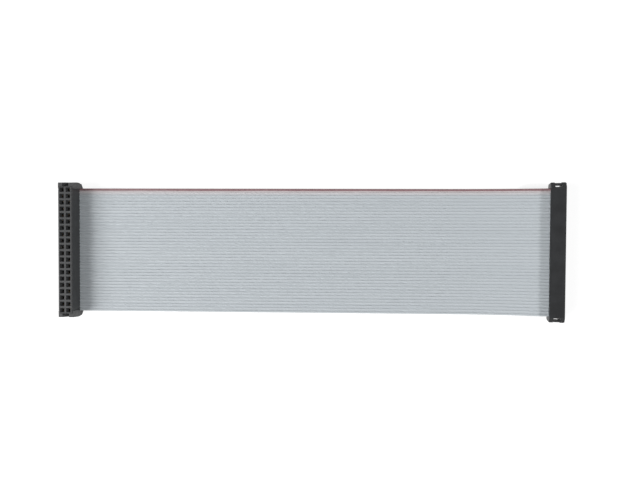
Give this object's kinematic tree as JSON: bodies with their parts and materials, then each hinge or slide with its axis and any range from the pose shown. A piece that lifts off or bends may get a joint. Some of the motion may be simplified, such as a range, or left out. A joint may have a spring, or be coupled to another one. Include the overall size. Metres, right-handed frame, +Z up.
{
  "type": "idc ribbon cable assembly",
  "caption": "Flat grey ribbon cable with a red edge stripe and a black two-row pin socket pressed onto each end, on opposite faces of the ribbon.",
  "frame": {"origin": "centre of the object's box, on the surface that it lies on", "axes": "+X along the cable towards the socket whose mating face is down, +Y across the ribbon towards its striped edge, +Z up"},
  "size_m": [0.2024, 0.055, 0.0118],
  "materials": {
    "socket_body": "fine moulded matt black",
    "socket_cover": "moulded satin black",
    "ribbon": "satin grey vinyl with a red stripe along one edge",
    "contact": "gold-flashed stamping",
    "conductor": "tinned copper strand"
  },
  "bodies": {
    "root": {"left_socket_body": "socket_body", "left_socket_cover": "socket_cover", "left_contacts_inner": "contact", "left_contacts_outer": "contact", "right_socket_body": "socket_body", "right_socket_cover": "socket_cover", "right_contacts_inner": "contact", "right_contacts_outer": "contact", "ribbon_insulation": "ribbon", "conductor_01": "conductor", "conductor_02": "conductor", "conductor_03": "conductor", "conductor_04": "conductor", "conductor_05": "conductor", "conductor_06": "conductor", "conductor_07": "conductor", "conductor_08": "conductor", "conductor_09": "conductor", "conductor_10": "conductor", "conductor_11": "conductor", "conductor_12": "conductor", "conductor_13": "conductor", "conductor_14": "conductor", "conductor_15": "conductor", "conductor_16": "conductor", "conductor_17": "conductor", "conductor_18": "conductor", "conductor_19": "conductor", "conductor_20": "conductor", "conductor_21": "conductor", "conductor_22": "conductor", "conductor_23": "conductor", "conductor_24": "conductor", "conductor_25": "conductor", "conductor_26": "conductor", "conductor_27": "conductor", "conductor_28": "conductor", "conductor_29": "conductor", "conductor_30": "conductor", "conductor_31": "conductor", "conductor_32": "conductor", "conductor_33": "conductor", "conductor_34": "conductor", "conductor_35": "conductor", "conductor_36": "conductor", "conductor_37": "conductor", "conductor_38": "conductor", "conductor_39": "conductor", "conductor_40": "conductor"}
  },
  "joints": []
}
